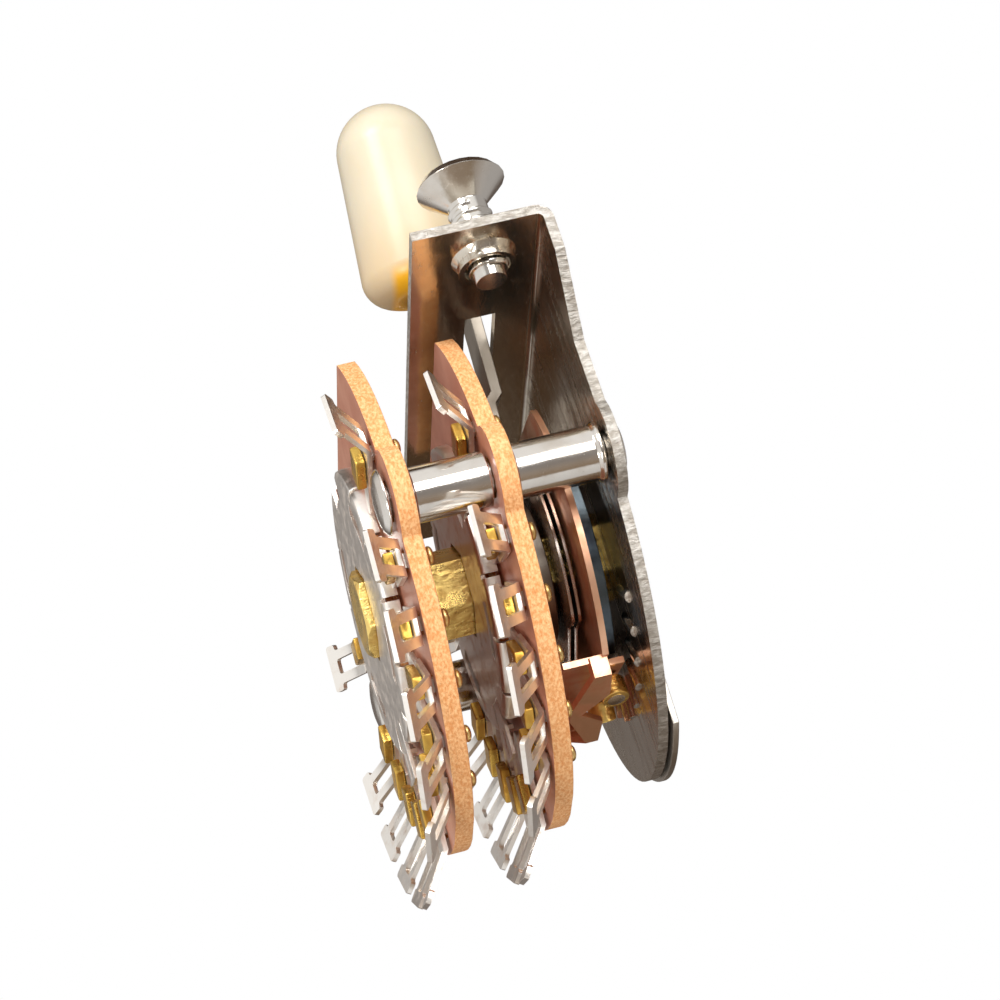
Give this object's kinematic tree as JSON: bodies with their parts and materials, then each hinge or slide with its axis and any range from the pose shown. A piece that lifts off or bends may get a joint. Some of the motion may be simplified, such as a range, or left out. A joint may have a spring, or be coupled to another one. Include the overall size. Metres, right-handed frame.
{
  "type": "pickup selector switch",
  "caption": "Open-frame lever switch: slotted mounting flange, round wafers with lug terminals, hexagonal shaft, roller index mechanism and a moulded tip on the lever.",
  "frame": {"origin": "on the flange's top face, on the strip of metal in front of the slot, halfway between the two screws", "axes": "+X along the flange, +Y from the front wafer to the bracket's wall, +Z out of the flange's top face, past the lever's tip"},
  "size_m": [0.0504, 0.0233, 0.0637],
  "materials": {
    "nickel_plated_steel": "bright nickel plate on pressed sheet",
    "blued_steel": "blued",
    "brass": "turned, bare",
    "phosphor_bronze": "pressed, bare",
    "silver_plated_brass": "silver plated",
    "phenolic_board": "paper laminate with a sawn edge",
    "ivory_plastic": "moulded, slightly worn"
  },
  "bodies": {
    "frame": {"bracket": "nickel_plated_steel", "screw_near": "nickel_plated_steel", "screw_far": "nickel_plated_steel", "rivet_near": "nickel_plated_steel", "rivet_far": "nickel_plated_steel", "tube_rear_near": "nickel_plated_steel", "tube_rear_far": "nickel_plated_steel", "tube_mid_near": "nickel_plated_steel", "tube_mid_far": "nickel_plated_steel", "wafer_front": "phenolic_board", "wafer_rear": "phenolic_board", "terminal_front_near_1": "silver_plated_brass", "terminal_front_near_2": "silver_plated_brass", "terminal_front_near_3": "silver_plated_brass", "terminal_front_near_4": "silver_plated_brass", "terminal_front_near_5": "silver_plated_brass", "terminal_front_near_6": "silver_plated_brass", "terminal_front_far_1": "silver_plated_brass", "terminal_front_far_2": "silver_plated_brass", "terminal_front_far_3": "silver_plated_brass", "terminal_front_far_4": "silver_plated_brass", "terminal_front_far_5": "silver_plated_brass", "terminal_front_far_6": "silver_plated_brass", "terminal_rear_near_1": "silver_plated_brass", "terminal_rear_near_2": "silver_plated_brass", "terminal_rear_near_3": "silver_plated_brass", "terminal_rear_near_4": "silver_plated_brass", "terminal_rear_near_5": "silver_plated_brass", "terminal_rear_near_6": "silver_plated_brass", "terminal_rear_far_1": "silver_plated_brass", "terminal_rear_far_2": "silver_plated_brass", "terminal_rear_far_3": "silver_plated_brass", "terminal_rear_far_4": "silver_plated_brass", "terminal_rear_far_5": "silver_plated_brass", "terminal_rear_far_6": "silver_plated_brass"},
    "lever_assembly": {"lever": "nickel_plated_steel", "switch_tip": "ivory_plastic", "shaft": "brass", "shaft_collar": "brass", "leaf_spring_front": "nickel_plated_steel", "leaf_spring_rear": "nickel_plated_steel", "roller_carrier": "phosphor_bronze", "index_washer": "blued_steel", "rear_plate": "nickel_plated_steel", "retaining_clip": "blued_steel", "rotor_front": "phenolic_board", "rotor_rear": "phenolic_board", "rotor_contact_front": "silver_plated_brass", "rotor_contact_rear": "silver_plated_brass"},
    "roller_near": {"roller_near": "brass"},
    "roller_far": {"roller_far": "brass"}
  },
  "joints": [
    {"name": "lever_swing", "type": "hinge", "parent": "frame", "child": "lever_assembly", "pos_m": [0, 0, -0.0182], "axis": [0, 1, 0], "range_deg": [-37.5, 12.5]},
    {"name": "roller_near_spin", "type": "hinge", "parent": "lever_assembly", "child": "roller_near", "pos_m": [0.00131, 0.0063, -0.03013], "axis": [0.1089, 0, -0.9941], "continuous": true},
    {"name": "roller_far_spin", "type": "hinge", "parent": "lever_assembly", "child": "roller_far", "pos_m": [-0.00622, 0.0063, -0.02846], "axis": [-0.5188, 0, -0.8549], "continuous": true}
  ]
}
